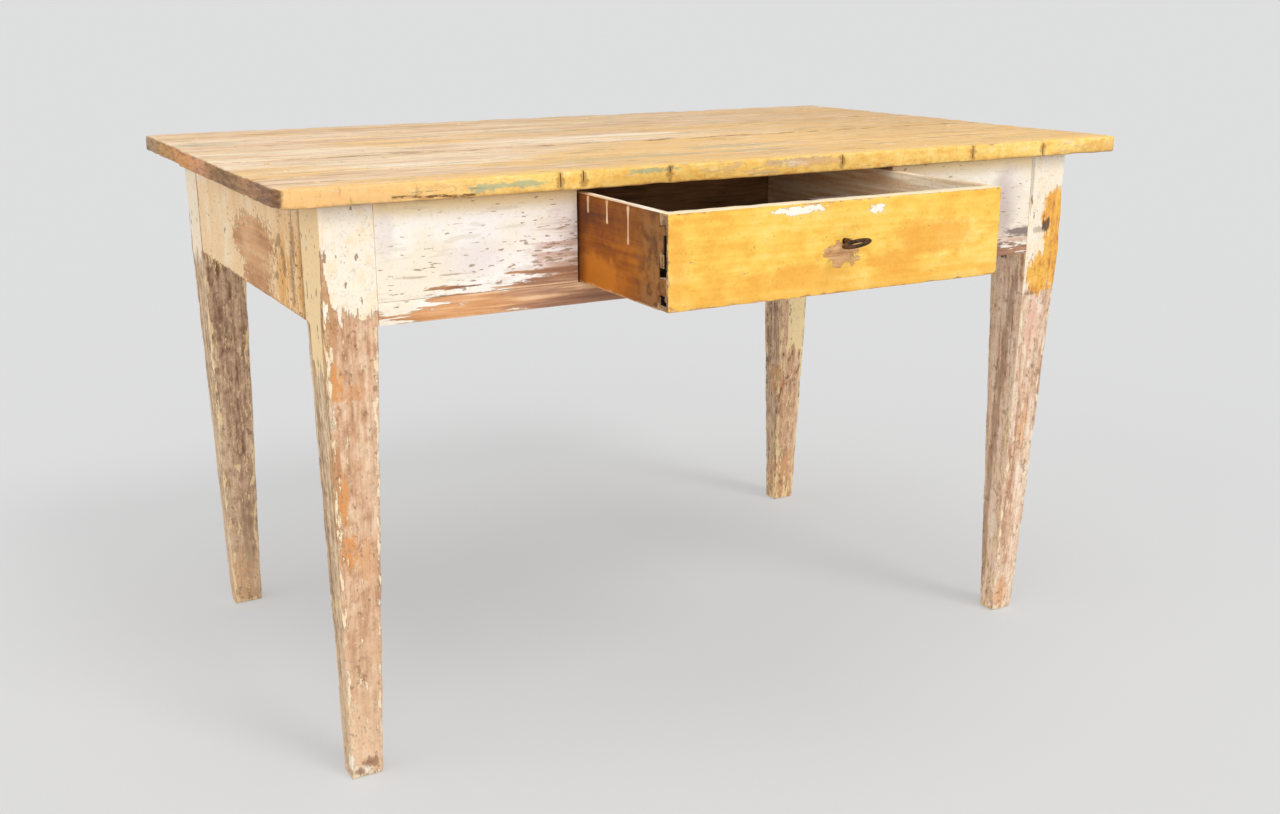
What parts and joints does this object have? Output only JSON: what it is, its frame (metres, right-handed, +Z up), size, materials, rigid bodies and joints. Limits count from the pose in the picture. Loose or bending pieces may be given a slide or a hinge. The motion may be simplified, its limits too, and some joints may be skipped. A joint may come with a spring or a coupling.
{
  "type": "work table",
  "caption": "Rectangular wooden work table with a plank top, deep aprons, square tapered legs and one lockable drawer that slides out at the front.",
  "frame": {"origin": "on the floor, under the middle of the box that the table fills with its drawer open as stored", "axes": "+X to the right as seen by someone facing the drawer, +Y to the back, +Z up"},
  "size_m": [1.284, 1.029, 0.77],
  "materials": {
    "top_paint": "thin yellow paint worn through to bare softwood, with streaks of older colours",
    "cream_paint": "old cream paint, chipped and flaking over brown wood",
    "leg_paint": "flaking cream and orange paint over weathered brown wood",
    "drawer_paint": "golden yellow paint with a satin sheen, worn at the edges and round the keyhole",
    "drawer_wood": "bare wood, dark with age",
    "inner_wood": "bare sawn softwood",
    "nail_iron": "rusted iron",
    "lock_iron": "dark rusted iron, rubbed bright where it is handled"
  },
  "bodies": {
    "frame": {"top_board_1": "top_paint", "top_board_2": "top_paint", "top_board_3": "top_paint", "top_board_4": "top_paint", "front_panel_left": "cream_paint", "front_panel_right": "cream_paint", "front_rail": "cream_paint", "back_apron": "cream_paint", "end_apron_left": "cream_paint", "end_apron_right": "cream_paint", "tenon_pegs": "cream_paint", "leg_front_left": "leg_paint", "leg_front_right": "leg_paint", "leg_back_left": "leg_paint", "leg_back_right": "leg_paint", "top_batten_left": "inner_wood", "top_batten_right": "inner_wood", "drawer_runner_left": "inner_wood", "drawer_runner_right": "inner_wood", "drawer_guide_left": "inner_wood", "drawer_guide_right": "inner_wood", "drawer_stop_left": "inner_wood", "drawer_stop_right": "inner_wood", "top_nails": "nail_iron", "batten_nails": "nail_iron", "runner_nails": "nail_iron", "guide_nails": "nail_iron"},
    "drawer": {"drawer_front": "drawer_paint", "drawer_side_left": "drawer_wood", "drawer_side_right": "drawer_wood", "drawer_back": "drawer_wood", "drawer_bottom_front": "drawer_wood", "drawer_bottom_rear": "drawer_wood", "drawer_nails": "nail_iron", "lock_plate": "lock_iron", "lock_case": "lock_iron", "lock_screws": "lock_iron"},
    "key": {"key": "lock_iron"},
    "lock_bolt": {"lock_bolt": "lock_iron"}
  },
  "joints": [
    {"name": "drawer_slide", "type": "slide", "parent": "frame", "child": "drawer", "axis": [0, -1, 0], "range_m": [-0.221, 0.179]},
    {"name": "key_turn", "type": "hinge", "parent": "drawer", "child": "key", "pos_m": [-0.018, -0.4785, 0.69141], "axis": [0, -1, 0], "range_deg": [-90, 90]},
    {"name": "bolt_slide", "type": "slide", "parent": "drawer", "child": "lock_bolt", "axis": [0, 0, 1], "range_m": [-0.01, 0.01]}
  ],
  "couplings": [
    {"joint": "bolt_slide", "follows": "key_turn", "m_per_rad": 0.0063661}
  ]
}
